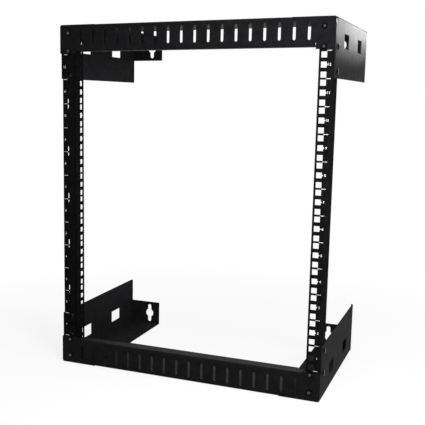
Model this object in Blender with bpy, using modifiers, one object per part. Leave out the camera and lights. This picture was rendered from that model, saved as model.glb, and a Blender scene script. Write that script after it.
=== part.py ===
"""Wall mount network rack: a 12-unit open frame of folded sheet steel with the 19-inch hole pattern.

Metres, +Z up. The front faces -Y and the wall is at +Y. Two punched rails stand between a bottom and
a top beam, and four corner brackets reach back to the wall. The frame mirrors about its middle, so
each kind of piece is modelled once, at the bottom right, in coordinates that start at the middle of
the rack. Depths are measured from the front of what they belong to, and sheet is drawn along the
middle of its thickness.
"""

import math

import bmesh
import bpy

# The 19-inch rack pattern
U_HEIGHT = 0.04445
UNITS = 12
HOLE_SPACING = 0.4651
HOLE_SIZE = 0.0095
FIRST_HOLE = 0.00635
HOLES_PER_UNIT = 3
NOTCH = 0.002

# The rack as a whole
DEPTH = 0.3188
SIDE_MARGIN = 0.01795
END_MARGIN = 0.00885
SHEET = 0.002
GAP = 0.0003
RELIEF = 0.001
SEAM = 0.006
BEND_STEPS = 4

# Rails
EXTRA_UNITS = 1
RAIL_MARGIN = 0.00805
RAIL_DEPTH = 0.066
RAIL_BEND = 0.0025
WEB_DEPTH = 0.039
WEB_LINE = 0.0188
WEB_SLOT_WIDTH = 0.009
WEB_SLOT_LENGTH = 0.020
WEB_SLOT_UNITS = 2
LIP_STEP = 0.0072
LIP_MARGIN = 0.009

# Beams
TAB_MARGIN = 0.01355
TAB_END = 0.002
TAB_RELIEF = 0.001
BEAM_CORNER = 0.004
BEAM_LIP_LEVEL = 0.006
BEAM_LIP_DEPTH = 0.0218
BEAM_LIP_BEND = 0.004
PLATE_DEPTH = 0.155
PLATE_BEND = 0.0025
PLATE_GAP = 0.0012
BEAM_SLOT_PITCH = 0.02445
BEAM_SLOT_WIDTH = 0.005
BEAM_SLOT_LENGTH = 0.029
BEAM_SLOT_DROP = 0.0008

# Brackets
BRACKET_SETBACK = 0.002
BRACKET_REACH = 0.0435
BRACKET_FLANGE = 0.0705
BRACKET_BEND = 0.002
BRACKET_CORNER_GAP = 0.0025
WALL_FLANGE_HEIGHT = 0.0498
WINDOW_LENGTH = 0.041
WINDOW_HEIGHT = 0.024
WINDOW_DROP = 0.019
WINDOW_FROM_RAIL = 0.095
WINDOW_FROM_WALL = 0.0845
SIDE_SCREW_INSET = 0.0105
SIDE_SCREW_SPACING = 0.040
KEYHOLE_INSET = 0.0473
KEYHOLE_DROP = 0.0006
KEYHOLE_ROUND = 0.018
KEYHOLE_SLOT = 0.0082
KEYHOLE_LENGTH = 0.040

# Screws and nuts
SCREWS_PER_JOINT = 2
SHANK = 0.006
SHANK_CHAMFER = 0.0006
SHANK_BEYOND_NUT = 0.004
SCREW_CLEARANCE = 0.0006
HEAD = 0.010
HEAD_THICK = 0.0027
HEAD_EDGE = 0.001
HEAD_STEPS = 4
NUT_FLATS = 0.010
NUT_THICK = 0.005
NUT_FLANGE = 0.014
NUT_FLANGE_THICK = 0.0015
ROUND_STEPS = 14
SLOT_STEPS = 4

# Places that follow from the sizes, from the middle of the rack
HALF_SHEET = SHEET / 2
CUT = 3 * SHEET
HOLE_PITCH = (U_HEIGHT - 2 * FIRST_HOLE) / (HOLES_PER_UNIT - 1)
END_HEIGHT = EXTRA_UNITS * U_HEIGHT + END_MARGIN
HEIGHT = UNITS * U_HEIGHT + 2 * END_HEIGHT
BOTTOM = -HEIGHT / 2
UNITS_BOTTOM = BOTTOM + END_HEIGHT
RAIL_UNITS = UNITS + 2 * EXTRA_UNITS
RAIL_BOTTOM = UNITS_BOTTOM - EXTRA_UNITS * U_HEIGHT
HOLE_COLUMN = HOLE_SPACING / 2
SIDE = HOLE_COLUMN + SIDE_MARGIN
WEB_FACE = SIDE - SHEET - GAP
WALL = DEPTH / 2
BEAM_FRONT = HEAD_THICK + GAP - WALL
RAIL_FRONT = BEAM_FRONT + SHEET + GAP
BRACKET_INNER = SIDE - BRACKET_FLANGE
BRACKET_TOP = UNITS_BOTTOM + BRACKET_REACH
SCREW_HOLE = SHANK + SCREW_CLEARANCE
SCREW_LENGTH = 2 * SHEET + 3 * GAP + NUT_THICK + SHANK_BEYOND_NUT
BEAM_SCREW_SPACING = (HOLES_PER_UNIT - 1) * HOLE_PITCH
BEAM_SCREWS = [UNITS_BOTTOM - FIRST_HOLE - i * BEAM_SCREW_SPACING for i in range(SCREWS_PER_JOINT)]
UPPER_SIDE_SCREW = BRACKET_TOP - SIDE_SCREW_INSET
SIDE_SCREWS = [UPPER_SIDE_SCREW - i * SIDE_SCREW_SPACING for i in reversed(range(SCREWS_PER_JOINT))]

# Turns that stand a flat shape up: its own X and Y become X and Z, or Y and Z
QUARTER = math.pi / 2
FACING_FRONT = (QUARTER, 0, 0)
FACING_SIDE = (QUARTER, 0, QUARTER)
UPSIDE_DOWN = (0, math.pi, 0)

RACK_COLLECTION = "wall_mount_network_rack"
BLANK_COLLECTION = "blanks"
CUTTER_COLLECTION = "cutters"


def start_scene():
    for obj in list(bpy.data.objects):
        bpy.data.objects.remove(obj)
    for name in (RACK_COLLECTION, BLANK_COLLECTION, CUTTER_COLLECTION):
        bpy.context.scene.collection.children.link(bpy.data.collections.new(name))


def link(name, data, collection, place=(0, 0, 0), turn=(0, 0, 0)):
    obj = bpy.data.objects.new(name, data)
    bpy.data.collections[collection].objects.link(obj)
    obj.location = place
    obj.rotation_euler = turn
    return obj


def helper(name, shape, place=(0, 0, 0), turn=(0, 0, 0), collection=CUTTER_COLLECTION):
    """An object that shapes others and isn't a piece of the rack itself."""
    mesh = bpy.data.meshes.new(name)
    shape.to_mesh(mesh)
    shape.free()
    obj = link(name, mesh, collection, place, turn)
    obj.hide_render = True
    obj.display_type = "WIRE"
    return obj


def evaluated_mesh(obj):
    """The object's mesh with its modifiers, in the coordinates of the rack."""
    bpy.context.view_layer.update()
    graph = bpy.context.evaluated_depsgraph_get()
    mesh = bpy.data.meshes.new_from_object(obj.evaluated_get(graph))
    mesh.transform(obj.matrix_world)
    return mesh


def box(size):
    shape = bmesh.new()
    bmesh.ops.create_cube(shape, size=1)
    bmesh.ops.scale(shape, vec=size, verts=shape.verts)
    return shape


def box_between(low, high):
    """A box cutter from one corner to the other."""
    shape = box([b - a for a, b in zip(low, high)])
    bmesh.ops.translate(shape, vec=[(a + b) / 2 for a, b in zip(low, high)], verts=shape.verts)
    return shape


def bar(radius, length, sides=ROUND_STEPS):
    """A bar along Z with flat ends: round, six-sided or a diamond."""
    shape = bmesh.new()
    bmesh.ops.create_cone(
        shape, cap_ends=True, segments=sides, radius1=radius, radius2=radius, depth=length
    )
    return shape


def arc(centre, radius, start, end, steps):
    angles = [start + (end - start) * i / steps for i in range(steps + 1)]
    return [(centre[0] + radius * math.cos(a), centre[1] + radius * math.sin(a)) for a in angles]


def plate(points, thickness):
    """A flat solid from its outline in X and Y, with its middle plane at Z = 0."""
    curve = bpy.data.curves.new("outline", "CURVE")
    curve.dimensions = "2D"
    curve.fill_mode = "BOTH"
    curve.extrude = thickness / 2
    line = curve.splines.new("POLY")
    line.points.add(len(points) - 1)
    for point, (x, y) in zip(line.points, points):
        point.co = (x, y, 0, 1)
    line.use_cyclic_u = True
    outline = link("outline", curve, CUTTER_COLLECTION)
    mesh = evaluated_mesh(outline)
    bpy.data.objects.remove(outline)
    bpy.data.curves.remove(curve)
    shape = bmesh.new()
    shape.from_mesh(mesh)
    bpy.data.meshes.remove(mesh)
    bmesh.ops.remove_doubles(shape, verts=shape.verts, dist=SHEET / 1000)
    bmesh.ops.recalc_face_normals(shape, faces=shape.faces)
    return shape


def slot(width, length):
    """The outline of an upright slot with round ends."""
    radius = width / 2
    reach = length / 2 - radius
    top = arc((0, reach), radius, 0, math.pi, SLOT_STEPS)
    return top + [(-x, -y) for x, y in top]


def keyhole():
    """The outline of a round hole with a slot above and below it."""
    big = KEYHOLE_ROUND / 2
    small = KEYHOLE_SLOT / 2
    meet = math.acos(small / big)
    right = arc((0, 0), big, -meet, meet, 2 * SLOT_STEPS)
    top = arc((0, KEYHOLE_LENGTH / 2 - small), small, 0, math.pi, SLOT_STEPS)
    return right + top + [(-x, -y) for x, y in right + top]


def repeat(obj, count, step):
    row = obj.modifiers.new("row", "ARRAY")
    row.count = count
    row.use_relative_offset = False
    row.use_constant_offset = True
    row.constant_offset_displace = step


def combine(target, other, operation):
    change = target.modifiers.new(other.name, "BOOLEAN")
    change.operation = operation
    change.solver = "EXACT"
    change.object = other


def cut(target, cutter):
    combine(target, cutter, "DIFFERENCE")


def join(target, other):
    combine(target, other, "UNION")


def drill(target, place, turn):
    """A round screw hole through one sheet."""
    cut(target, helper("screw_hole", bar(SCREW_HOLE / 2, CUT), place, turn))


def folded_sheet(name, section, run, bend):
    """Sheet with rounded folds: the middle line of its section, run out sideways and thickened."""
    shape = bmesh.new()
    line = [shape.verts.new(point) for point in section]
    edges = [shape.edges.new(ends) for ends in zip(line, line[1:])]
    swept = bmesh.ops.extrude_edge_only(shape, edges=edges)["geom"]
    far_line = [item for item in swept if isinstance(item, bmesh.types.BMVert)]
    bmesh.ops.translate(shape, vec=run, verts=far_line)
    sheet = helper(name, shape, collection=BLANK_COLLECTION)
    folds = sheet.modifiers.new("folds", "BEVEL")
    folds.width = bend
    folds.segments = BEND_STEPS
    thickness = sheet.modifiers.new("thickness", "SOLIDIFY")
    thickness.thickness = SHEET
    thickness.offset = 0
    thickness.use_even_offset = True
    return sheet


def punch_rack_holes(rail, name, first, turn):
    """A column of square holes, with a small notch beside the middle hole of each unit."""
    holes = helper(name, box((HOLE_SIZE, HOLE_SIZE, CUT)), first, turn)
    repeat(holes, HOLES_PER_UNIT, (0, HOLE_PITCH, 0))
    repeat(holes, RAIL_UNITS, (0, U_HEIGHT, 0))
    cut(rail, holes)
    diamond = bar(NOTCH, CUT, sides=4)
    bmesh.ops.translate(diamond, vec=(HOLE_SIZE / 2, HOLE_PITCH, 0), verts=diamond.verts)
    notches = helper(name + "_notches", diamond, first, turn)
    repeat(notches, RAIL_UNITS, (0, U_HEIGHT, 0))
    cut(rail, notches)


def rail():
    """The right rail: front flange, web, a step inwards and a rear lip."""
    flange = RAIL_FRONT + HALF_SHEET
    web = WEB_FACE - HALF_SHEET
    lip = web - LIP_STEP
    back = RAIL_FRONT + RAIL_DEPTH
    section = [
        (HOLE_COLUMN - RAIL_MARGIN, flange, RAIL_BOTTOM),
        (web, flange, RAIL_BOTTOM),
        (web, RAIL_FRONT + WEB_DEPTH, RAIL_BOTTOM),
        (lip, RAIL_FRONT + WEB_DEPTH, RAIL_BOTTOM),
        (lip, back, RAIL_BOTTOM),
    ]
    blank = folded_sheet("rail", section, (0, 0, RAIL_UNITS * U_HEIGHT), RAIL_BEND)
    first_hole = RAIL_BOTTOM + FIRST_HOLE
    punch_rack_holes(blank, "flange_holes", (HOLE_COLUMN, flange, first_hole), FACING_FRONT)
    punch_rack_holes(blank, "lip_holes", (lip, back - LIP_MARGIN, first_hole), FACING_SIDE)
    slot_step = WEB_SLOT_UNITS * U_HEIGHT
    web_slot = plate(slot(WEB_SLOT_WIDTH, WEB_SLOT_LENGTH), CUT)
    place = (web, RAIL_FRONT + WEB_LINE, UNITS_BOTTOM + slot_step)
    web_slots = helper("web_slots", web_slot, place, FACING_SIDE)
    repeat(web_slots, UNITS // WEB_SLOT_UNITS - 1, (0, slot_step, 0))
    cut(blank, web_slots)
    for level in SIDE_SCREWS:
        drill(blank, (web, RAIL_FRONT + WEB_LINE, level), FACING_SIDE)
        drill(blank, (web, RAIL_FRONT + WEB_LINE, -level), FACING_SIDE)
    return evaluated_mesh(blank)


def beam_face(lip_fold, plate_fold, half_plate, tab_inner):
    """The outline of a beam's face, with a tab over each rail and a notch at each end of its folds."""
    right = [
        (half_plate + RELIEF, plate_fold + RELIEF),
        (half_plate + RELIEF, BOTTOM),
        *arc((SIDE - BEAM_CORNER, BOTTOM + BEAM_CORNER), BEAM_CORNER, -QUARTER, 0, SLOT_STEPS),
        (SIDE, UNITS_BOTTOM - TAB_END),
        (tab_inner, UNITS_BOTTOM - TAB_END),
        (tab_inner, lip_fold - RELIEF),
    ]
    return right + [(-x, z) for x, z in reversed(right)]


def beam():
    """The bottom beam: a slotted face, a short inner lip and a deep outer plate."""
    face = BEAM_FRONT + HALF_SHEET
    lip = UNITS_BOTTOM - BEAM_LIP_LEVEL - HALF_SHEET
    lip_fold = lip - BEAM_LIP_BEND
    outer = BOTTOM + HALF_SHEET
    plate_fold = outer + PLATE_BEND
    half_plate = BRACKET_INNER - PLATE_GAP
    tab_inner = HOLE_COLUMN - TAB_MARGIN
    half_lip = tab_inner - TAB_RELIEF
    outline = beam_face(lip_fold, plate_fold, half_plate, tab_inner)
    blank = helper("beam", plate(outline, SHEET), (0, face, 0), FACING_FRONT, BLANK_COLLECTION)
    lip_section = [
        (-half_lip, face, lip_fold - SEAM),
        (-half_lip, face, lip),
        (-half_lip, BEAM_FRONT + BEAM_LIP_DEPTH, lip),
    ]
    join(blank, folded_sheet("beam_lip", lip_section, (2 * half_lip, 0, 0), BEAM_LIP_BEND))
    plate_section = [
        (-half_plate, face, plate_fold + SEAM),
        (-half_plate, face, outer),
        (-half_plate, BEAM_FRONT + PLATE_DEPTH, outer),
    ]
    join(blank, folded_sheet("beam_plate", plate_section, (2 * half_plate, 0, 0), PLATE_BEND))
    slots_beside_middle = int((HOLE_COLUMN - BEAM_SLOT_PITCH / 2) / BEAM_SLOT_PITCH)
    first_slot = BEAM_SLOT_PITCH / 2 - slots_beside_middle * BEAM_SLOT_PITCH
    level = (lip_fold + plate_fold) / 2 - BEAM_SLOT_DROP
    beam_slot = plate(slot(BEAM_SLOT_WIDTH, BEAM_SLOT_LENGTH), CUT)
    slots = helper("beam_slots", beam_slot, (first_slot, face, level), FACING_FRONT)
    repeat(slots, 2 * slots_beside_middle, (BEAM_SLOT_PITCH, 0, 0))
    cut(blank, slots)
    for level in BEAM_SCREWS:
        drill(blank, (HOLE_COLUMN, face, level), FACING_FRONT)
        drill(blank, (-HOLE_COLUMN, face, level), FACING_FRONT)
    return evaluated_mesh(blank)


def bracket():
    """The bottom right bracket: a side panel, an outer flange and a wall flange with its keyhole."""
    panel = SIDE - HALF_SHEET
    front = RAIL_FRONT + BRACKET_SETBACK
    wall = WALL - HALF_SHEET
    outer = BOTTOM + HALF_SHEET
    fold = outer + BRACKET_BEND
    flange_end = WALL - SHEET - BRACKET_CORNER_GAP
    upright = [(panel, front, BOTTOM), (panel, wall, BOTTOM), (BRACKET_INNER, wall, BOTTOM)]
    blank = folded_sheet("bracket", upright, (0, 0, BRACKET_TOP - BOTTOM), BRACKET_BEND)
    below_panel = box_between(
        (panel - CUT, front - CUT, BOTTOM - CUT), (panel + CUT, flange_end, fold)
    )
    cut(blank, helper("room_for_outer_flange", below_panel))
    above_flange = box_between(
        (BRACKET_INNER - CUT, wall - CUT, BOTTOM + WALL_FLANGE_HEIGHT),
        (panel - BRACKET_BEND - HALF_SHEET, wall + CUT, BRACKET_TOP + CUT),
    )
    cut(blank, helper("above_wall_flange", above_flange))
    lower = [(panel, front, fold + SEAM), (panel, front, outer), (BRACKET_INNER, front, outer)]
    join(blank, folded_sheet("outer_flange", lower, (0, flange_end - front, 0), BRACKET_BEND))
    for middle in (RAIL_FRONT + WINDOW_FROM_RAIL, WALL - WINDOW_FROM_WALL):
        window = box((WINDOW_LENGTH, WINDOW_HEIGHT, CUT))
        place = (panel, middle, UNITS_BOTTOM - WINDOW_DROP)
        cut(blank, helper("window", window, place, FACING_SIDE))
    for level in SIDE_SCREWS:
        drill(blank, (panel, RAIL_FRONT + WEB_LINE, level), FACING_SIDE)
    keyhole_level = BOTTOM + WALL_FLANGE_HEIGHT / 2 - KEYHOLE_DROP
    place = (SIDE - KEYHOLE_INSET, wall, keyhole_level)
    cut(blank, helper("keyhole", plate(keyhole(), CUT), place, FACING_FRONT))
    return evaluated_mesh(blank)


def screw():
    """A domed screw along Z, with the seat of its head at Z = 0."""
    radius = SHANK / 2
    dome = arc((0, 0), 1, QUARTER, 0, HEAD_STEPS)
    profile = [(x * HEAD / 2, HEAD_EDGE + z * (HEAD_THICK - HEAD_EDGE)) for x, z in dome]
    profile += [
        (HEAD / 2, 0),
        (radius, 0),
        (radius, SHANK_CHAMFER - SCREW_LENGTH),
        (radius - SHANK_CHAMFER, -SCREW_LENGTH),
        (0, -SCREW_LENGTH),
    ]
    shape = bmesh.new()
    line = [shape.verts.new((x, 0, z)) for x, z in profile]
    for ends in zip(line, line[1:]):
        shape.edges.new(ends)
    blank = helper("screw", shape, collection=BLANK_COLLECTION)
    turned = blank.modifiers.new("turned", "SCREW")
    turned.steps = ROUND_STEPS
    turned.render_steps = ROUND_STEPS
    turned.use_merge_vertices = True
    turned.merge_threshold = SHANK / 1000
    return evaluated_mesh(blank)


def nut():
    """A six-sided nut with a round flange, along Z, with its seat at Z = 0 and its body below."""
    hexagon = bar(NUT_FLATS / 2 / math.cos(math.pi / 6), NUT_THICK - NUT_FLANGE_THICK / 2, sides=6)
    middle = -(NUT_THICK + NUT_FLANGE_THICK / 2) / 2
    blank = helper("nut", hexagon, (0, 0, middle), collection=BLANK_COLLECTION)
    flange = bar(NUT_FLANGE / 2, NUT_FLANGE_THICK)
    join(blank, helper("nut_flange", flange, (0, 0, -NUT_FLANGE_THICK / 2)))
    cut(blank, helper("nut_bore", bar(SCREW_HOLE / 2, 3 * NUT_THICK)))
    return evaluated_mesh(blank)


def finish(mesh, name, colour, roughness, metallic):
    """Gives a kind of piece its own material and smooth bends."""
    material = bpy.data.materials.new(name)
    material.use_nodes = True
    shader = material.node_tree.nodes["Principled BSDF"]
    shader.inputs["Base Color"].default_value = (*colour, 1)
    shader.inputs["Roughness"].default_value = roughness
    shader.inputs["Metallic"].default_value = metallic
    mesh.name = name
    mesh.materials.append(material)
    mesh.shade_smooth()
    mesh.set_sharp_from_angle(angle=math.pi / 6)
    return mesh


def black_paint(mesh, name):
    return finish(mesh, name, (0.018, 0.018, 0.020), 0.45, 0)


def black_zinc(mesh, name):
    return finish(mesh, name, (0.07, 0.07, 0.075), 0.35, 1)


def pivot(name, parent=None):
    """An empty that places the pieces under it."""
    obj = link(name, None, RACK_COLLECTION)
    obj.parent = parent
    return obj


def piece(name, mesh, parent, place=(0, 0, 0), turn=(0, 0, 0)):
    obj = link(name, mesh, RACK_COLLECTION, place, turn)
    obj.parent = parent
    return obj


def fasten(names, corner, screw_mesh, nut_mesh, outside, inside, turn):
    """A screw with its head outside the two sheets of a joint and its nut inside."""
    name_screw, name_nut = names
    piece(name_screw, screw_mesh, corner, outside, turn)
    piece(name_nut, nut_mesh, corner, inside, turn)


def corner_pieces(name, corner, bracket_mesh, screw_mesh, nut_mesh):
    """A bracket, the two screws into its beam and the two into its rail."""
    piece(name + "_bracket", bracket_mesh, corner)
    for number, level in enumerate(BEAM_SCREWS, start=1):
        names = (f"{name}_front_screw_{number}", f"{name}_front_nut_{number}")
        outside = (HOLE_COLUMN, BEAM_FRONT - GAP, level)
        inside = (HOLE_COLUMN, RAIL_FRONT + SHEET + GAP, level)
        fasten(names, corner, screw_mesh, nut_mesh, outside, inside, FACING_FRONT)
    for number, level in enumerate(SIDE_SCREWS, start=1):
        names = (f"{name}_side_screw_{number}", f"{name}_side_nut_{number}")
        outside = (SIDE + GAP, RAIL_FRONT + WEB_LINE, level)
        inside = (WEB_FACE - SHEET - GAP, RAIL_FRONT + WEB_LINE, level)
        fasten(names, corner, screw_mesh, nut_mesh, outside, inside, FACING_SIDE)


def build():
    start_scene()
    beam_mesh = black_paint(beam(), "beam")
    rail_mesh = black_paint(rail(), "rail")
    bracket_mesh = black_paint(bracket(), "bracket")
    screw_mesh = black_zinc(screw(), "screw")
    nut_mesh = black_zinc(nut(), "nut")
    rack = pivot("rack")
    rack.location.z = HEIGHT / 2
    piece("bottom_beam", beam_mesh, rack)
    piece("top_beam", beam_mesh, rack, turn=UPSIDE_DOWN)
    piece("right_rail", rail_mesh, rack)
    piece("left_rail", rail_mesh, rack, turn=UPSIDE_DOWN)
    for level in ("bottom", "top"):
        for side in ("right", "left"):
            corner = pivot(f"{level}_{side}_corner", rack)
            if level == "top":
                corner.rotation_euler = UPSIDE_DOWN
            if (level == "top") != (side == "left"):
                corner.scale.x = -1
            corner_pieces(f"{level}_{side}", corner, bracket_mesh, screw_mesh, nut_mesh)


build()
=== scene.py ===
"""Looks for the wall mount network rack: powder-coated sheet, black fasteners, printed unit marks.

Metres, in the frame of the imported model: +Z up, front towards -Y, wall towards +Y.
"""

import math
import bmesh
import bpy
from mathutils import Euler, Matrix, Vector


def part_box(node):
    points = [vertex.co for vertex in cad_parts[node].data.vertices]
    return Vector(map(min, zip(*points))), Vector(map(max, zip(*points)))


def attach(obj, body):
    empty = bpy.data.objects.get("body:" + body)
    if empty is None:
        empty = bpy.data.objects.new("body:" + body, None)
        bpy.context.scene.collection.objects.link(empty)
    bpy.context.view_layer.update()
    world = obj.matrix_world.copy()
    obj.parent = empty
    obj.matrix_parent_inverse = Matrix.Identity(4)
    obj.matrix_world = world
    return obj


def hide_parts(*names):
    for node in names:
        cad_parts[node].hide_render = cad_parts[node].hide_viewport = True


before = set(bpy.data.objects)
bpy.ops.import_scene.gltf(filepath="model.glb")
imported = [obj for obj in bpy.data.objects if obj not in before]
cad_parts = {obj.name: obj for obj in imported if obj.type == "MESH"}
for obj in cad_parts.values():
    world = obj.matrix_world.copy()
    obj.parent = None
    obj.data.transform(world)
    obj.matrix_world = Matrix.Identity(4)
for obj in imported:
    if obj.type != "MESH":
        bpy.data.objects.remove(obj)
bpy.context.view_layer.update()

# The one body of the rack
BODY = "root"

# The camera, fitted to the photograph: its turn is in degrees
IMAGE_WIDTH = 425
SENSOR = 36
FOCAL_PIXELS = 780.0
CAMERA_PLACE = (0.4912, -1.4317, 0.5069)
CAMERA_TURN = (80.923, -0.483, 24.122)
CAMERA_SHIFT = (0.16, 0.0272)
CAMERA_NEAREST = 0.05

# The light of the world, and the floor: its size, and how far from the rack it turns white
WORLD_LEVEL = 0.15
FLOOR_RADIUS = 9
FLOOR_SIDES = 96
FLOOR_DROP = 0.0005
FADE_START = 0.25
FADE_END = 0.95
FADE_LEAST = 0.82

# The sizes of the solids, from the middle of the rack, as in the part's source
U_HEIGHT = 0.04445
UNITS = 12
HOLE_SPACING = 0.4651
HOLE_SIZE = 0.0095
FIRST_HOLE = 0.00635
HOLE_PITCH = 0.015875
HOLES_PER_UNIT = 3
NOTCH = 0.002
DEPTH = 0.3188
SIDE_MARGIN = 0.01795
END_HEIGHT = 0.0533
SHEET = 0.002
GAP = 0.0003
RELIEF = 0.001
SEAM = 0.006
EXTRA_UNITS = 1
RAIL_MARGIN = 0.00805
RAIL_DEPTH = 0.066
RAIL_BEND = 0.0025
WEB_DEPTH = 0.039
WEB_LINE = 0.0188
WEB_SLOT_WIDTH = 0.009
WEB_SLOT_LENGTH = 0.020
WEB_SLOT_UNITS = 2
LIP_STEP = 0.0072
LIP_MARGIN = 0.009
TAB_MARGIN = 0.01355
TAB_END = 0.002
TAB_RELIEF = 0.001
BEAM_CORNER = 0.004
BEAM_LIP_LEVEL = 0.006
BEAM_LIP_DEPTH = 0.0218
BEAM_LIP_BEND = 0.004
PLATE_DEPTH = 0.155
PLATE_BEND = 0.0025
PLATE_GAP = 0.0012
BEAM_SLOT_PITCH = 0.02445
BEAM_SLOT_WIDTH = 0.005
BEAM_SLOT_LENGTH = 0.029
BEAM_SLOT_DROP = 0.0008
BRACKET_SETBACK = 0.002
BRACKET_REACH = 0.0435
BRACKET_FLANGE = 0.0705
BRACKET_BEND = 0.002
BRACKET_CORNER_GAP = 0.0025
WALL_FLANGE_HEIGHT = 0.0498
WINDOW_LENGTH = 0.041
WINDOW_HEIGHT = 0.024
WINDOW_DROP = 0.019
WINDOW_FROM_RAIL = 0.095
WINDOW_FROM_WALL = 0.0845
SIDE_SCREW_INSET = 0.0105
SIDE_SCREW_SPACING = 0.040
KEYHOLE_INSET = 0.0473
KEYHOLE_DROP = 0.0006
KEYHOLE_ROUND = 0.018
KEYHOLE_SLOT = 0.0082
KEYHOLE_LENGTH = 0.040
SCREWS_PER_JOINT = 2
SCREW_HOLE = 0.0066
HEAD_THICK = 0.0027

# Smoothness of folds and round cuts, and the small round that paint leaves on cut edges
BEND_STEPS = 8
SLOT_STEPS = 12
ROUND_STEPS = 48
EDGE_RADIUS = 0.0003
EDGE_STEPS = 2
EDGE_ANGLE = math.radians(50)
SMOOTH_ANGLE = math.radians(35)
FLAT_ANGLE = math.radians(0.1)

# How close points of a mesh are when they become one
OUTLINE_MERGE = 0.000002
PROFILE_MERGE = 0.000002
SOLID_MERGE = 0.000001
PRINT_MERGE = 0.0000005

# Places that follow from the sizes
HALF_SHEET = SHEET / 2
CUT = 3 * SHEET
HEIGHT = UNITS * U_HEIGHT + 2 * END_HEIGHT
BOTTOM = -HEIGHT / 2
UNITS_BOTTOM = BOTTOM + END_HEIGHT
RAIL_UNITS = UNITS + 2 * EXTRA_UNITS
RAIL_BOTTOM = UNITS_BOTTOM - EXTRA_UNITS * U_HEIGHT
HOLE_COLUMN = HOLE_SPACING / 2
SIDE = HOLE_COLUMN + SIDE_MARGIN
WEB_FACE = SIDE - SHEET - GAP
WALL = DEPTH / 2
BEAM_FRONT = HEAD_THICK + GAP - WALL
RAIL_FRONT = BEAM_FRONT + SHEET + GAP
BRACKET_INNER = SIDE - BRACKET_FLANGE
BRACKET_TOP = UNITS_BOTTOM + BRACKET_REACH
BEAM_SCREW_SPACING = (HOLES_PER_UNIT - 1) * HOLE_PITCH
BEAM_SCREWS = [UNITS_BOTTOM - FIRST_HOLE - i * BEAM_SCREW_SPACING for i in range(SCREWS_PER_JOINT)]
UPPER_SIDE_SCREW = BRACKET_TOP - SIDE_SCREW_INSET
SIDE_SCREWS = [UPPER_SIDE_SCREW - i * SIDE_SCREW_SPACING for i in reversed(range(SCREWS_PER_JOINT))]

# Turns that stand a flat shape up: its own X and Y become X and Z, or Y and Z
QUARTER = math.pi / 2
FACING_FRONT = (QUARTER, 0, 0)
FACING_SIDE = (QUARTER, 0, QUARTER)

# The black coat is a little blue, and its roughness changes by this much
COAT_BLUE = 1.1
ROUGHNESS_CHANGE = 0.12

# Scales of the noise in the materials, in cells to a metre, and heights of the bumps in metres
TONE_SCALE = 70
SMEAR_SCALE = 55
GRAIN_SCALE = 1500
GRAIN_HEIGHT = 0.00006
WAVE_SCALE = 420
WAVE_HEIGHT = 0.00012
STAIN_SCALE = 260
POLISH_SCALE = 600
PITTING_SCALE = 2600
PITTING_HEIGHT = 0.00003
INK_COVER_SCALE = 1400
INK_GLOSS_SCALE = 900
INK_HEIGHT = 0.00002
FLOOR_SCALE = 3

# Steel of the fasteners: bright in the middle, partly wear and partly a painted highlight, blackened,
# and a painted shade at the rim
WORN_AND_HIGHLIGHT_STEEL = (0.15, 0.15, 0.15)
BLACKENED_STEEL = (0.03, 0.03, 0.033)
RIM_PAINTED_SHADE_STEEL = (0.004, 0.004, 0.005)
STAIN_SHARE = 0.3

# Printed marks on the rails
TICK_COLUMN = 0.2408
TICK_LENGTH = 0.0076
TICK_HEIGHT = 0.0008
DIGIT_COLUMN = 0.2423
DIGITS_WIDTH = 0.0042
DIGIT_SIZE = 0.0060
DIGIT_BOLD = 0.00003
DIGIT_STEPS = 6
INK_THICKNESS = 0.00004

# Screws: the head, its cross recess as (length, width) of a wing at its top and bottom, the thread
HEAD_RADIUS = 0.005
HEAD_EDGE = 0.001
HEAD_CORNER = 0.0003
DOME_STEPS = 10
RECESS_TOP = (0.0062, 0.0013)
RECESS_BOTTOM = (0.0026, 0.0009)
RECESS_TOP_LEVEL = 0.0032
RECESS_BOTTOM_LEVEL = 0.0009
SHANK_RADIUS = 0.003
SHANK_IN_HEAD = 0.0006
PLAIN_LENGTH = 0.001
THREAD_DEPTH = 0.00045
THREAD_PITCH = 0.001
THREAD_STEPS = 8
THREAD_SIDES = 28
CREST_SLOPE = 1.3
CREST_DROP = 0.1
TIP_LENGTH = 0.0012
TIP_TAPER = 0.0004
TURN_STEP = 67
# Radii at which a head's bright middle, wear and a painted highlight, gives way to a painted shade at
# its rim
WORN_AND_HIGHLIGHT_RADIUS = 0.0018
RIM_PAINTED_SHADE_RADIUS = 0.0034

# Nuts, with the small cuts at their corners, their flange's rim and their bore
NUT_HALF_FLATS = 0.005
NUT_SIDES = 6
NUT_RADIUS = NUT_HALF_FLATS / math.cos(math.pi / NUT_SIDES)
NUT_THICK = 0.005
NUT_FLANGE_RADIUS = 0.007
NUT_FLANGE_THICK = 0.0015
NUT_BORE_RADIUS = 0.00315
NUT_CORNER_WIDTH = 0.0007
NUT_CORNER_HEIGHT = 0.0008
RIM_CORNER = 0.0002
RIM_THICK = 0.0009
RIM_STEP_WIDTH = 0.0004
RIM_STEP_LEVEL = 0.0012
FLANGE_NECK_RADIUS = 0.0053
BORE_CORNER_WIDTH = 0.0014
BORE_CORNER_DEPTH = 0.0004
TOOL_MARGIN = 0.001


def new_material(name):
    material = bpy.data.materials.new(name)
    material.use_nodes = True
    tree = material.node_tree
    return material, tree, tree.nodes["Principled BSDF"]


def noise(tree, coordinates, scale, detail=2.0, coarseness=0.5):
    node = tree.nodes.new("ShaderNodeTexNoise")
    node.inputs["Scale"].default_value = scale
    node.inputs["Detail"].default_value = detail
    node.inputs["Roughness"].default_value = coarseness
    tree.links.new(coordinates, node.inputs["Vector"])
    return node.outputs["Fac"]


def ramp(tree, value, stops):
    """A colour ramp: stops are (position, grey or colour)."""
    node = tree.nodes.new("ShaderNodeValToRGB")
    elements = node.color_ramp.elements
    while len(elements) < len(stops):
        elements.new(0.5)
    for element, (position, colour) in zip(elements, stops):
        element.position = position
        if not isinstance(colour, tuple):
            colour = (colour, colour, colour)
        element.color = (*colour, 1)
    tree.links.new(value, node.inputs["Fac"])
    return node.outputs["Color"]


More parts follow.
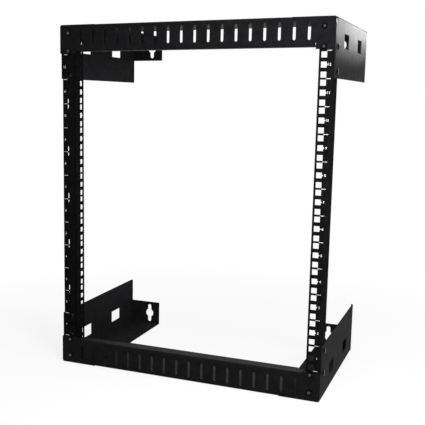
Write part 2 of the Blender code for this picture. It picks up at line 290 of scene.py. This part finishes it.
def bump(tree, height, distance, strength, normal=None):
    node = tree.nodes.new("ShaderNodeBump")
    node.inputs["Distance"].default_value = distance
    node.inputs["Strength"].default_value = strength
    tree.links.new(height, node.inputs["Height"])
    if normal:
        tree.links.new(normal, node.inputs["Normal"])
    return node.outputs["Normal"]


def object_coordinates(tree):
    return tree.nodes.new("ShaderNodeTexCoord").outputs["Object"]


def coat_black(level):
    return (level, level, level * COAT_BLUE)


def powder_coat(name, dark, light, roughness, specular):
    """Black powder coat: a fine leathery grain, with small changes in tone and gloss."""
    material, tree, shader = new_material(name)
    place = object_coordinates(tree)
    tone = noise(tree, place, TONE_SCALE, detail=4, coarseness=0.8)
    colour = ramp(tree, tone, [(0.2, coat_black(dark)), (0.8, coat_black(light))])
    tree.links.new(colour, shader.inputs["Base Color"])
    smear = noise(tree, place, SMEAR_SCALE, detail=4, coarseness=0.75)
    gloss = ramp(tree, smear, [(0.3, roughness), (0.72, roughness + ROUGHNESS_CHANGE)])
    tree.links.new(gloss, shader.inputs["Roughness"])
    shader.inputs["Specular IOR Level"].default_value = specular
    grain = noise(tree, place, GRAIN_SCALE, detail=2)
    waves = noise(tree, place, WAVE_SCALE, detail=1)
    rough_skin = bump(tree, grain, GRAIN_HEIGHT, strength=0.5)
    skin = bump(tree, waves, WAVE_HEIGHT, strength=0.4, normal=rough_skin)
    tree.links.new(skin, shader.inputs["Normal"])
    return material


def black_zinc():
    """Blackened steel: stained, bright in the middle of a head, partly worn by the driver and partly a
    painted highlight, with a painted shade at the rim.
    """
    material, tree, shader = new_material("black_zinc")
    place = object_coordinates(tree)
    flat = tree.nodes.new("ShaderNodeVectorMath")
    flat.operation = "MULTIPLY"
    flat.inputs[1].default_value = (1, 1, 0)
    tree.links.new(place, flat.inputs[0])
    radius = tree.nodes.new("ShaderNodeVectorMath")
    radius.operation = "LENGTH"
    tree.links.new(flat.outputs[0], radius.inputs[0])
    # Bright middle, partly wear and partly a painted highlight, turning to a painted shade at the rim
    wear_and_highlight = tree.nodes.new("ShaderNodeMapRange")
    wear_and_highlight.inputs["From Min"].default_value = WORN_AND_HIGHLIGHT_RADIUS
    wear_and_highlight.inputs["From Max"].default_value = RIM_PAINTED_SHADE_RADIUS
    tree.links.new(radius.outputs["Value"], wear_and_highlight.inputs["Value"])
    stain_and_painted_light = tree.nodes.new("ShaderNodeMath")
    stain_and_painted_light.operation = "MULTIPLY_ADD"
    stain_and_painted_light.inputs[1].default_value = STAIN_SHARE
    tree.links.new(noise(tree, place, STAIN_SCALE, detail=4), stain_and_painted_light.inputs[0])
    tree.links.new(wear_and_highlight.outputs["Result"], stain_and_painted_light.inputs[2])
    stops = [(0.15, WORN_AND_HIGHLIGHT_STEEL), (0.5, BLACKENED_STEEL), (1, RIM_PAINTED_SHADE_STEEL)]
    colour = ramp(tree, stain_and_painted_light.outputs[0], stops)
    tree.links.new(colour, shader.inputs["Base Color"])
    shader.inputs["Metallic"].default_value = 1
    roughness = ramp(tree, noise(tree, place, POLISH_SCALE, detail=3), [(0.3, 0.2), (0.7, 0.3)])
    tree.links.new(roughness, shader.inputs["Roughness"])
    pitting = noise(tree, place, PITTING_SCALE, detail=2)
    tree.links.new(bump(tree, pitting, PITTING_HEIGHT, strength=0.5), shader.inputs["Normal"])
    return material


def print_ink():
    """White screen print, slightly thin and uneven over the grain of the coat."""
    material, tree, shader = new_material("print_ink")
    place = object_coordinates(tree)
    cover = noise(tree, place, INK_COVER_SCALE, detail=3)
    colour = ramp(tree, cover, [(0.3, 0.38), (0.55, 0.55)])
    tree.links.new(colour, shader.inputs["Base Color"])
    roughness = ramp(tree, noise(tree, place, INK_GLOSS_SCALE, detail=2), [(0.3, 0.5), (0.7, 0.62)])
    tree.links.new(roughness, shader.inputs["Roughness"])
    tree.links.new(bump(tree, cover, INK_HEIGHT, strength=0.5), shader.inputs["Normal"])
    return material


def link(name, data, place=(0, 0, 0), turn=(0, 0, 0)):
    obj = bpy.data.objects.new(name, data)
    bpy.context.scene.collection.objects.link(obj)
    obj.location = place
    obj.rotation_euler = turn
    return obj


def applied(obj):
    """The object's mesh with its modifiers, in the coordinates of the scene."""
    bpy.context.view_layer.update()
    graph = bpy.context.evaluated_depsgraph_get()
    mesh = bpy.data.meshes.new_from_object(obj.evaluated_get(graph))
    mesh.transform(obj.matrix_world)
    return mesh


def discard(*objects):
    for obj in objects:
        bpy.data.objects.remove(obj)


def mesh_of(shape, name):
    mesh = bpy.data.meshes.new(name)
    shape.to_mesh(mesh)
    shape.free()
    return mesh


def box(size):
    shape = bmesh.new()
    bmesh.ops.create_cube(shape, size=1)
    bmesh.ops.scale(shape, vec=size, verts=shape.verts)
    return shape


def box_between(low, high):
    shape = box([b - a for a, b in zip(low, high)])
    bmesh.ops.translate(shape, vec=[(a + b) / 2 for a, b in zip(low, high)], verts=shape.verts)
    return shape


def bar(radius, length, sides=ROUND_STEPS):
    shape = bmesh.new()
    bmesh.ops.create_cone(
        shape, cap_ends=True, segments=sides, radius1=radius, radius2=radius, depth=length
    )
    return shape


def arc(centre, radius, start, end, steps):
    """Points along an arc, with both of its ends."""
    angles = [start + (end - start) * i / steps for i in range(steps + 1)]
    return [(centre[0] + radius * math.cos(a), centre[1] + radius * math.sin(a)) for a in angles]


def plate(points, thickness):
    """A flat solid from its outline in X and Y, with its middle plane at Z = 0."""
    curve = bpy.data.curves.new("outline", "CURVE")
    curve.dimensions = "2D"
    curve.fill_mode = "BOTH"
    curve.extrude = thickness / 2
    line = curve.splines.new("POLY")
    line.points.add(len(points) - 1)
    for point, (x, y) in zip(line.points, points):
        point.co = (x, y, 0, 1)
    line.use_cyclic_u = True
    outline = link("outline", curve)
    mesh = applied(outline)
    discard(outline)
    shape = bmesh.new()
    shape.from_mesh(mesh)
    bmesh.ops.remove_doubles(shape, verts=shape.verts, dist=OUTLINE_MERGE)
    bmesh.ops.dissolve_limit(
        shape, angle_limit=FLAT_ANGLE, verts=shape.verts, edges=shape.edges
    )
    bmesh.ops.recalc_face_normals(shape, faces=shape.faces)
    return shape


def slot(width, length):
    """The outline of an upright slot with round ends."""
    radius = width / 2
    reach = length / 2 - radius
    top = arc((0, reach), radius, 0, math.pi, SLOT_STEPS)
    return top + [(-x, -y) for x, y in top]


def keyhole():
    """The outline of a round hole with a slot above and below it."""
    big = KEYHOLE_ROUND / 2
    small = KEYHOLE_SLOT / 2
    meet = math.acos(small / big)
    right = arc((0, 0), big, -meet, meet, 2 * SLOT_STEPS)
    top = arc((0, KEYHOLE_LENGTH / 2 - small), small, 0, math.pi, SLOT_STEPS)
    return right + top + [(-x, -y) for x, y in right + top]


def repeat(obj, count, step):
    """Copies an object in a row, with the step in its own coordinates."""
    row = obj.modifiers.new("row", "ARRAY")
    row.count = count
    row.use_relative_offset = False
    row.use_constant_offset = True
    row.constant_offset_displace = step


class Blank:
    """A sheet piece while it is cut and joined. Its helpers go once its mesh is made."""

    def __init__(self, obj):
        self.obj = obj
        self.helpers = []

    def combine(self, other, operation):
        change = self.obj.modifiers.new(other.name, "BOOLEAN")
        change.operation = operation
        change.solver = "EXACT"
        change.object = other
        self.helpers.append(other)
        return other

    def cut(self, shape, place=(0, 0, 0), turn=(0, 0, 0)):
        tool = link("cutter", mesh_of(shape, "cutter"), place, turn)
        return self.combine(tool, "DIFFERENCE")

    def join(self, other):
        return self.combine(other, "UNION")

    def drill(self, place, turn):
        self.cut(bar(SCREW_HOLE / 2, CUT), place, turn)

    def mesh(self, name, coat):
        """The finished sheet: edges with the small round of the paint, as a second material."""
        edges = self.obj.modifiers.new("edges", "BEVEL")
        edges.width = EDGE_RADIUS
        edges.segments = EDGE_STEPS
        edges.limit_method = "ANGLE"
        edges.angle_limit = EDGE_ANGLE
        edges.material = 1
        mesh = applied(self.obj)
        discard(self.obj, *self.helpers)
        mesh.name = name
        mesh.materials.clear()
        mesh.materials.append(coat)
        mesh.materials.append(edge_coat)
        mesh.shade_smooth()
        mesh.set_sharp_from_angle(angle=SMOOTH_ANGLE)
        return mesh


def folded_sheet(section, run, bend):
    """Sheet with rounded folds: the middle line of its section, run out sideways and thickened."""
    shape = bmesh.new()
    line = [shape.verts.new(point) for point in section]
    edges = [shape.edges.new(ends) for ends in zip(line, line[1:])]
    swept = bmesh.ops.extrude_edge_only(shape, edges=edges)["geom"]
    far_line = [item for item in swept if isinstance(item, bmesh.types.BMVert)]
    bmesh.ops.translate(shape, vec=run, verts=far_line)
    sheet = link("sheet", mesh_of(shape, "sheet"))
    folds = sheet.modifiers.new("folds", "BEVEL")
    folds.width = bend
    folds.segments = BEND_STEPS
    thickness = sheet.modifiers.new("thickness", "SOLIDIFY")
    thickness.thickness = SHEET
    thickness.offset = 0
    thickness.use_even_offset = True
    return sheet


def punch_rack_holes(blank, first, turn):
    """A column of square holes, with a small notch beside the middle hole of each unit."""
    holes = blank.cut(box((HOLE_SIZE, HOLE_SIZE, CUT)), first, turn)
    repeat(holes, HOLES_PER_UNIT, (0, HOLE_PITCH, 0))
    repeat(holes, RAIL_UNITS, (0, U_HEIGHT, 0))
    diamond = bar(NOTCH, CUT, sides=4)
    bmesh.ops.translate(diamond, vec=(HOLE_SIZE / 2, HOLE_PITCH, 0), verts=diamond.verts)
    repeat(blank.cut(diamond, first, turn), RAIL_UNITS, (0, U_HEIGHT, 0))


def rail_sheet():
    flange = RAIL_FRONT + HALF_SHEET
    web = WEB_FACE - HALF_SHEET
    lip = web - LIP_STEP
    back = RAIL_FRONT + RAIL_DEPTH
    section = [
        (HOLE_COLUMN - RAIL_MARGIN, flange, RAIL_BOTTOM),
        (web, flange, RAIL_BOTTOM),
        (web, RAIL_FRONT + WEB_DEPTH, RAIL_BOTTOM),
        (lip, RAIL_FRONT + WEB_DEPTH, RAIL_BOTTOM),
        (lip, back, RAIL_BOTTOM),
    ]
    blank = Blank(folded_sheet(section, (0, 0, RAIL_UNITS * U_HEIGHT), RAIL_BEND))
    first_hole = RAIL_BOTTOM + FIRST_HOLE
    punch_rack_holes(blank, (HOLE_COLUMN, flange, first_hole), FACING_FRONT)
    punch_rack_holes(blank, (lip, back - LIP_MARGIN, first_hole), FACING_SIDE)
    step = WEB_SLOT_UNITS * U_HEIGHT
    place = (web, RAIL_FRONT + WEB_LINE, UNITS_BOTTOM + step)
    web_slots = blank.cut(plate(slot(WEB_SLOT_WIDTH, WEB_SLOT_LENGTH), CUT), place, FACING_SIDE)
    repeat(web_slots, UNITS // WEB_SLOT_UNITS - 1, (0, step, 0))
    for level in SIDE_SCREWS:
        blank.drill((web, RAIL_FRONT + WEB_LINE, level), FACING_SIDE)
        blank.drill((web, RAIL_FRONT + WEB_LINE, -level), FACING_SIDE)
    # The rails take the darker copy of the coat, a painted shade
    return blank.mesh("rail", rail_coat_painted_shade)


def beam_face(lip_fold, plate_fold, half_plate, tab_inner):
    """The outline of a beam's front, with a tab at each end and reliefs beside the folds."""
    right = [
        (half_plate + RELIEF, plate_fold + RELIEF),
        (half_plate + RELIEF, BOTTOM),
        *arc((SIDE - BEAM_CORNER, BOTTOM + BEAM_CORNER), BEAM_CORNER, -QUARTER, 0, SLOT_STEPS),
        (SIDE, UNITS_BOTTOM - TAB_END),
        (tab_inner, UNITS_BOTTOM - TAB_END),
        (tab_inner, lip_fold - RELIEF),
    ]
    return right + [(-x, z) for x, z in reversed(right)]


def beam_sheet():
    face = BEAM_FRONT + HALF_SHEET
    lip = UNITS_BOTTOM - BEAM_LIP_LEVEL - HALF_SHEET
    lip_fold = lip - BEAM_LIP_BEND
    outer = BOTTOM + HALF_SHEET
    plate_fold = outer + PLATE_BEND
    half_plate = BRACKET_INNER - PLATE_GAP
    tab_inner = HOLE_COLUMN - TAB_MARGIN
    half_lip = tab_inner - TAB_RELIEF
    outline = plate(beam_face(lip_fold, plate_fold, half_plate, tab_inner), SHEET)
    blank = Blank(link("beam", mesh_of(outline, "beam"), (0, face, 0), FACING_FRONT))
    lip_section = [
        (-half_lip, face, lip_fold - SEAM),
        (-half_lip, face, lip),
        (-half_lip, BEAM_FRONT + BEAM_LIP_DEPTH, lip),
    ]
    blank.join(folded_sheet(lip_section, (2 * half_lip, 0, 0), BEAM_LIP_BEND))
    plate_section = [
        (-half_plate, face, plate_fold + SEAM),
        (-half_plate, face, outer),
        (-half_plate, BEAM_FRONT + PLATE_DEPTH, outer),
    ]
    blank.join(folded_sheet(plate_section, (2 * half_plate, 0, 0), PLATE_BEND))
    beside_middle = int((HOLE_COLUMN - BEAM_SLOT_PITCH / 2) / BEAM_SLOT_PITCH)
    first_slot = BEAM_SLOT_PITCH / 2 - beside_middle * BEAM_SLOT_PITCH
    level = (lip_fold + plate_fold) / 2 - BEAM_SLOT_DROP
    shape = plate(slot(BEAM_SLOT_WIDTH, BEAM_SLOT_LENGTH), CUT)
    slots = blank.cut(shape, (first_slot, face, level), FACING_FRONT)
    repeat(slots, 2 * beside_middle, (BEAM_SLOT_PITCH, 0, 0))
    for level in BEAM_SCREWS:
        blank.drill((HOLE_COLUMN, face, level), FACING_FRONT)
        blank.drill((-HOLE_COLUMN, face, level), FACING_FRONT)
    return blank.mesh("beam", beam_coat)


def bracket_sheet():
    panel = SIDE - HALF_SHEET
    front = RAIL_FRONT + BRACKET_SETBACK
    wall = WALL - HALF_SHEET
    outer = BOTTOM + HALF_SHEET
    fold = outer + BRACKET_BEND
    flange_end = WALL - SHEET - BRACKET_CORNER_GAP
    upright = [(panel, front, BOTTOM), (panel, wall, BOTTOM), (BRACKET_INNER, wall, BOTTOM)]
    blank = Blank(folded_sheet(upright, (0, 0, BRACKET_TOP - BOTTOM), BRACKET_BEND))
    blank.cut(box_between((panel - CUT, front - CUT, BOTTOM - CUT), (panel + CUT, flange_end, fold)))
    above_flange = box_between(
        (BRACKET_INNER - CUT, wall - CUT, BOTTOM + WALL_FLANGE_HEIGHT),
        (panel - BRACKET_BEND - HALF_SHEET, wall + CUT, BRACKET_TOP + CUT),
    )
    blank.cut(above_flange)
    lower = [(panel, front, fold + SEAM), (panel, front, outer), (BRACKET_INNER, front, outer)]
    blank.join(folded_sheet(lower, (0, flange_end - front, 0), BRACKET_BEND))
    for middle in (RAIL_FRONT + WINDOW_FROM_RAIL, WALL - WINDOW_FROM_WALL):
        window = box((WINDOW_LENGTH, WINDOW_HEIGHT, CUT))
        blank.cut(window, (panel, middle, UNITS_BOTTOM - WINDOW_DROP), FACING_SIDE)
    for level in SIDE_SCREWS:
        blank.drill((panel, RAIL_FRONT + WEB_LINE, level), FACING_SIDE)
    keyhole_level = BOTTOM + WALL_FLANGE_HEIGHT / 2 - KEYHOLE_DROP
    place = (SIDE - KEYHOLE_INSET, wall, keyhole_level)
    blank.cut(plate(keyhole(), CUT), place, FACING_FRONT)
    # The brackets take the lighter copy of the coat, painted light
    return blank.mesh("bracket", bracket_coat_painted_light)


def place_sheet(node, mesh, turn=0.0, mirrored=False):
    """Stands for a sheet node, turned about Y and mirrored left to right as the solid is."""
    moved = mesh.copy()
    if mirrored:
        moved.transform(Matrix.Scale(-1, 4, (1, 0, 0)))
        moved.flip_normals()
    lift = Matrix.Translation((0, 0, HEIGHT / 2))
    moved.transform(lift @ Matrix.Rotation(turn, 4, "Y"))
    sheet = link(node + "_sheet", moved)
    level = sheet.modifiers.new("level", "WEIGHTED_NORMAL")
    level.keep_sharp = True
    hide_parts(node)
    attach(sheet, BODY)


def sheets():
    beam = beam_sheet()
    rail = rail_sheet()
    bracket = bracket_sheet()
    place_sheet("bottom_beam", beam)
    place_sheet("top_beam", beam, math.pi)
    place_sheet("right_rail", rail)
    place_sheet("left_rail", rail, math.pi)
    place_sheet("bottom_right_bracket", bracket)
    place_sheet("bottom_left_bracket", bracket, mirrored=True)
    place_sheet("top_left_bracket", bracket, math.pi)
    place_sheet("top_right_bracket", bracket, math.pi, mirrored=True)


def revolved(profile, steps):
    """A closed mesh from its profile of (radius, height), turned about Z."""
    shape = bmesh.new()
    line = [shape.verts.new((radius, 0, height)) for radius, height in profile]
    for ends in zip(line, line[1:]):
        shape.edges.new(ends)
    outline = link("profile", mesh_of(shape, "profile"))
    turned = outline.modifiers.new("turned", "SCREW")
    turned.steps = steps
    turned.render_steps = steps
    turned.use_merge_vertices = True
    turned.merge_threshold = PROFILE_MERGE
    mesh = applied(outline)
    discard(outline)
    return mesh


def boolean(mesh, others, operation):
    """Cuts, joins or intersects a mesh with others, in order."""
    blank = Blank(link("target", mesh))
    for other in others:
        blank.combine(link("tool", other), operation)
    result = applied(blank.obj)
    discard(blank.obj, *blank.helpers)
    return result


def tapered_bar(top, bottom, high, low, turn):
    """One wing of a cross recess: top and bottom are (length, width)."""
    shape = bmesh.new()
    corners = []
    for (length, width), level in ((top, high), (bottom, low)):
        for x, y in ((1, 1), (-1, 1), (-1, -1), (1, -1)):
            corners.append(shape.verts.new((x * length / 2, y * width / 2, level)))
    upper = corners[:4]
    lower = corners[4:]
    shape.faces.new(upper)
    shape.faces.new(reversed(lower))
    for i in range(4):
        j = (i + 1) % 4
        shape.faces.new((upper[j], upper[i], lower[i], lower[j]))
    bmesh.ops.recalc_face_normals(shape, faces=shape.faces)
    bmesh.ops.rotate(shape, matrix=Matrix.Rotation(turn, 3, "Z"), verts=shape.verts)
    return mesh_of(shape, "wing")


def threaded_shank(length):
    """A shank with a helical thread along it, from just inside the head to its chamfered end."""
    shape = bmesh.new()
    rings = []
    top = SHANK_IN_HEAD
    count = round((length + top) / THREAD_PITCH * THREAD_STEPS)
    for i in range(count + 1):
        level = top - (length + top) * i / count
        from_end = min(1, (level + length) / TIP_LENGTH)
        ring = []
        for j in range(THREAD_SIDES):
            angle = 2 * math.pi * j / THREAD_SIDES
            phase = (level / THREAD_PITCH + j / THREAD_SIDES) % 1
            crest = abs(2 * phase - 1)
            crest = min(1, max(0, CREST_SLOPE * crest - CREST_DROP))
            if level > -PLAIN_LENGTH:
                crest = 0
            radius = SHANK_RADIUS - THREAD_DEPTH * (1 - crest * from_end) - TIP_TAPER * (1 - from_end)
            ring.append(shape.verts.new((radius * math.cos(angle), radius * math.sin(angle), level)))
        rings.append(ring)
    for upper, lower in zip(rings, rings[1:]):
        for j in range(THREAD_SIDES):
            k = (j + 1) % THREAD_SIDES
            shape.faces.new((upper[j], lower[j], lower[k], upper[k]))
    shape.faces.new(rings[0])
    shape.faces.new(reversed(rings[-1]))
    bmesh.ops.recalc_face_normals(shape, faces=shape.faces)
    return mesh_of(shape, "shank")


def screw_mesh(length, material):
    """A pan head screw along Z with a cross recess; the seat of its head is at Z = 0."""
    angles = [QUARTER * i / DOME_STEPS for i in range(DOME_STEPS + 1)]
    dome = HEAD_THICK - HEAD_EDGE
    profile = [(HEAD_RADIUS * math.sin(a), HEAD_EDGE + dome * math.cos(a)) for a in angles]
    profile += [(HEAD_RADIUS, HEAD_CORNER), (HEAD_RADIUS - HEAD_CORNER, 0), (0, 0)]
    head = revolved(profile, ROUND_STEPS)
    wings = []
    for turn in (0, QUARTER):
        levels = (RECESS_TOP_LEVEL, RECESS_BOTTOM_LEVEL)
        wings.append(tapered_bar(RECESS_TOP, RECESS_BOTTOM, *levels, turn))
    head = boolean(head, wings, "DIFFERENCE")
    mesh = boolean(head, [threaded_shank(length)], "UNION")
    return finished(mesh, "screw", material)


def nut_mesh(material):
    """A flange nut along Z with its seat at Z = 0 and its body below."""
    body = bmesh.new()
    bmesh.ops.create_cone(
        body, cap_ends=True, segments=NUT_SIDES, radius1=NUT_RADIUS, radius2=NUT_RADIUS,
        depth=NUT_THICK - NUT_FLANGE_THICK / 2,
    )
    bmesh.ops.translate(body, vec=(0, 0, -(NUT_THICK + NUT_FLANGE_THICK / 2) / 2), verts=body.verts)
    around = NUT_RADIUS + TOOL_MARGIN
    corners = [
        (0, TOOL_MARGIN), (around, TOOL_MARGIN), (around, -NUT_THICK + NUT_CORNER_HEIGHT),
        (NUT_RADIUS - NUT_CORNER_WIDTH, -NUT_THICK), (0, -NUT_THICK),
    ]
    hexagon = boolean(mesh_of(body, "hexagon"), [revolved(corners, ROUND_STEPS)], "INTERSECT")
    flange = [
        (0, 0), (NUT_FLANGE_RADIUS - RIM_CORNER, 0), (NUT_FLANGE_RADIUS, -RIM_CORNER),
        (NUT_FLANGE_RADIUS, -RIM_THICK), (NUT_FLANGE_RADIUS - RIM_STEP_WIDTH, -RIM_STEP_LEVEL),
        (FLANGE_NECK_RADIUS, -NUT_FLANGE_THICK), (0, -NUT_FLANGE_THICK),
    ]
    mesh = boolean(hexagon, [revolved(flange, ROUND_STEPS)], "UNION")
    mouth = NUT_BORE_RADIUS + BORE_CORNER_WIDTH
    below = -NUT_THICK - TOOL_MARGIN
    bore = [
        (0, TOOL_MARGIN), (mouth, TOOL_MARGIN), (NUT_BORE_RADIUS, -BORE_CORNER_DEPTH),
        (NUT_BORE_RADIUS, -NUT_THICK + BORE_CORNER_DEPTH), (mouth, below), (0, below),
    ]
    mesh = boolean(mesh, [revolved(bore, ROUND_STEPS)], "DIFFERENCE")
    return finished(mesh, "nut", material)


def finished(mesh, name, material):
    """A turned mesh made clean and smooth, in its material."""
    shape = bmesh.new()
    shape.from_mesh(mesh)
    bmesh.ops.remove_doubles(shape, verts=shape.verts, dist=SOLID_MERGE)
    bmesh.ops.recalc_face_normals(shape, faces=shape.faces)
    mesh = mesh_of(shape, name)
    mesh.materials.clear()
    mesh.materials.append(material)
    mesh.shade_smooth()
    mesh.set_sharp_from_angle(angle=SMOOTH_ANGLE)
    return mesh


def place_fastener(node, mesh, away, reach, turn):
    """Puts a screw or nut where its node is. Away is the way its head faces, reach the seat's place."""
    low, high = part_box(node)
    middle = (low + high) / 2
    seat = middle + away * reach
    spin = Matrix.Rotation(turn, 4, "Z")
    facing = away.to_track_quat("Z", "Y").to_matrix().to_4x4()
    piece = link(node + "_detail", mesh)
    piece.matrix_world = Matrix.Translation(seat) @ facing @ spin
    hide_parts(node)
    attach(piece, BODY)


def fasteners(material):
    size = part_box("bottom_right_front_screw_1")
    length = size[1].y - size[0].y - HEAD_THICK
    screw = screw_mesh(length, material)
    nut = nut_mesh(material)
    count = 0
    for node in sorted(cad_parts):
        if "_screw_" not in node and "_nut_" not in node:
            continue
        away = Vector((0, -1, 0))
        if "_side_" in node:
            away = Vector((1, 0, 0)) if "_right_" in node else Vector((-1, 0, 0))
        turn = math.radians(count * TURN_STEP % 90)
        count += 1
        if "_screw_" in node:
            place_fastener(node, screw, away, (length - HEAD_THICK) / 2, turn)
        else:
            place_fastener(node, nut, away, NUT_THICK / 2, turn)


def digits_mesh(text, side, level, front):
    """Printed digits on the front of a rail, between its holes and its fold."""
    curve = bpy.data.curves.new("digits", "FONT")
    curve.body = text
    curve.size = DIGIT_SIZE
    curve.align_y = "CENTER"
    curve.extrude = INK_THICKNESS / 2
    curve.offset = DIGIT_BOLD
    curve.resolution_u = DIGIT_STEPS
    words = link("digits", curve)
    mesh = applied(words)
    discard(words)
    across = [vert.co.x for vert in mesh.vertices]
    width = max(across) - min(across)
    narrow = min(1, DIGITS_WIDTH / width)
    centre = Matrix.Translation((-(max(across) + min(across)) / 2, 0, 0))
    upright = Euler((QUARTER, 0, 0)).to_matrix().to_4x4() @ Matrix.Scale(narrow, 4, (1, 0, 0))
    place = (side * DIGIT_COLUMN, front, level)
    mesh.transform(Matrix.Translation(place) @ upright @ centre)
    return mesh


def unit_marks(side, name, ink):
    """The numbers 1 to 12 and a short line at each end of every unit."""
    shape = bmesh.new()
    front = RAIL_FRONT - INK_THICKNESS / 2
    for unit in range(UNITS):
        level = END_HEIGHT + (unit + 0.5) * U_HEIGHT
        shape.from_mesh(digits_mesh(str(unit + 1), side, level, front))
    for unit in range(UNITS + 1):
        tick = bmesh.new()
        bmesh.ops.create_cube(tick, size=1)
        bmesh.ops.scale(tick, vec=(TICK_LENGTH, INK_THICKNESS, TICK_HEIGHT), verts=tick.verts)
        place = (side * TICK_COLUMN, front, END_HEIGHT + unit * U_HEIGHT)
        bmesh.ops.translate(tick, vec=place, verts=tick.verts)
        shape.from_mesh(mesh_of(tick, "tick"))
    bmesh.ops.remove_doubles(shape, verts=shape.verts, dist=PRINT_MERGE)
    mesh = mesh_of(shape, name)
    mesh.materials.clear()
    mesh.materials.append(ink)
    for face in mesh.polygons:
        face.material_index = 0
    marks = link(name, mesh)
    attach(marks, BODY)


def set_camera():
    data = bpy.data.cameras.new("camera")
    camera = link("camera", data)
    camera.location = CAMERA_PLACE
    camera.rotation_euler = [math.radians(angle) for angle in CAMERA_TURN]
    data.sensor_width = SENSOR
    data.lens = FOCAL_PIXELS * SENSOR / IMAGE_WIDTH
    data.shift_x, data.shift_y = CAMERA_SHIFT
    data.clip_start = CAMERA_NEAREST
    bpy.context.scene.camera = camera


def seen_by_camera(tree):
    """1 for rays that see the background: from the camera, off gloss and through glass."""
    path = tree.nodes.new("ShaderNodeLightPath")
    total = path.outputs["Is Camera Ray"]
    for name in ("Is Glossy Ray", "Is Transmission Ray"):
        either = tree.nodes.new("ShaderNodeMath")
        either.operation = "MAXIMUM"
        tree.links.new(total, either.inputs[0])
        tree.links.new(path.outputs[name], either.inputs[1])
        total = either.outputs[0]
    return total


def set_world(level):
    """White to the eye, and a plain grey light on the object."""
    world = bpy.data.worlds.new("studio")
    world.use_nodes = True
    bpy.context.scene.world = world
    tree = world.node_tree
    light = tree.nodes["Background"]
    light.inputs["Color"].default_value = (1, 1, 1, 1)
    light.inputs["Strength"].default_value = level
    white = tree.nodes.new("ShaderNodeBackground")
    white.inputs["Color"].default_value = (1, 1, 1, 1)
    white.inputs["Strength"].default_value = 1
    mix = tree.nodes.new("ShaderNodeMixShader")
    tree.links.new(seen_by_camera(tree), mix.inputs["Fac"])
    tree.links.new(light.outputs[0], mix.inputs[1])
    tree.links.new(white.outputs[0], mix.inputs[2])
    tree.links.new(mix.outputs[0], tree.nodes["World Output"].inputs["Surface"])


def make_floor():
    """A pale floor that keeps the shadow near the rack and runs out to the white background."""
    shape = bmesh.new()
    bmesh.ops.create_circle(shape, cap_ends=True, segments=FLOOR_SIDES, radius=FLOOR_RADIUS)
    floor = link("floor", mesh_of(shape, "floor"))
    floor.location = (0, 0, -FLOOR_DROP)
    material, tree, shader = new_material("floor")
    place = object_coordinates(tree)
    tone = ramp(tree, noise(tree, place, FLOOR_SCALE, detail=2), [(0.3, 0.80), (0.7, 0.83)])
    tree.links.new(tone, shader.inputs["Base Color"])
    shader.inputs["Roughness"].default_value = 0.9
    shader.inputs["Specular IOR Level"].default_value = 0.1
    distance = tree.nodes.new("ShaderNodeVectorMath")
    distance.operation = "LENGTH"
    tree.links.new(place, distance.inputs[0])
    fade = tree.nodes.new("ShaderNodeMapRange")
    fade.interpolation_type = "SMOOTHSTEP"
    fade.inputs["From Min"].default_value = FADE_START
    fade.inputs["From Max"].default_value = FADE_END
    fade.inputs["To Min"].default_value = FADE_LEAST
    tree.links.new(distance.outputs["Value"], fade.inputs["Value"])
    share = tree.nodes.new("ShaderNodeMath")
    share.operation = "MULTIPLY"
    tree.links.new(fade.outputs["Result"], share.inputs[0])
    tree.links.new(seen_by_camera(tree), share.inputs[1])
    white = tree.nodes.new("ShaderNodeEmission")
    white.inputs["Color"].default_value = (1, 1, 1, 1)
    white.inputs["Strength"].default_value = 1
    mix = tree.nodes.new("ShaderNodeMixShader")
    tree.links.new(share.outputs[0], mix.inputs["Fac"])
    tree.links.new(shader.outputs[0], mix.inputs[1])
    tree.links.new(white.outputs[0], mix.inputs[2])
    tree.links.new(mix.outputs[0], tree.nodes["Material Output"].inputs["Surface"])
    floor.data.materials.append(material)


def softbox(name, place, aim, size, watts):
    """A soft rectangular lamp that the camera doesn't see."""
    data = bpy.data.lights.new(name, "AREA")
    data.shape = "RECTANGLE"
    data.size = size[0]
    data.size_y = size[1]
    data.energy = watts
    lamp = link(name, data)
    lamp.location = place
    lamp.rotation_euler = (Vector(aim) - Vector(place)).to_track_quat("-Z", "Y").to_euler()
    lamp.visible_camera = False


set_camera()
set_world(WORLD_LEVEL)
make_floor()

# Each lamp: its place, the point it faces, its width and height
softbox("softbox_top", (0.0, -0.3, 2.4), (0, 0, 0.3), (2.6, 2.6), watts=30)
softbox("softbox_front", (0.34, -0.62, 0.60), (0.1, -0.1, 0.45), (0.3, 0.3), watts=7.5)
softbox("softbox_side", (1.70, -0.25, 0.32), (-0.25, 0, 0.32), (0.5, 0.5), watts=22)
softbox("softbox_back", (0.0, 2.6, 1.5), (0, 0, 0.3), (2.4, 0.9), watts=12)
softbox("softbox_right", (0.90, 3.1, 0.78), (0.26, 0.16, 0.70), (0.06, 0.06), watts=0.150)

# The narrow lamp makes the bright patch on the upper right bracket
bpy.data.lights["softbox_right"].spread = math.radians(4)

# The front lamp leaves no bright spot on the screws
bpy.data.objects["softbox_front"].visible_glossy = False
bpy.context.scene.view_settings.view_transform = "Standard"

# One black powder coat in three copies, lighter or darker to stand in for how each sheet is lit:
# painted light on the brackets, painted shade on the rails, which also have almost no reflection
beam_coat = powder_coat("beam_coat", dark=0.0020, light=0.0080, roughness=0.45, specular=0.028)
bracket_coat_painted_light = powder_coat("bracket_coat_painted_light", dark=0.0040, light=0.0130, roughness=0.50, specular=0.005)
rail_coat_painted_shade = powder_coat("rail_coat_painted_shade", dark=0.0014, light=0.0062, roughness=0.50, specular=0.0005)
edge_coat = powder_coat("edge_coat", dark=0.004, light=0.008, roughness=0.40, specular=0.02)
zinc = black_zinc()
ink = print_ink()

sheets()
fasteners(zinc)
unit_marks(1, "right_rail_unit_marks", ink)
unit_marks(-1, "left_rail_unit_marks", ink)
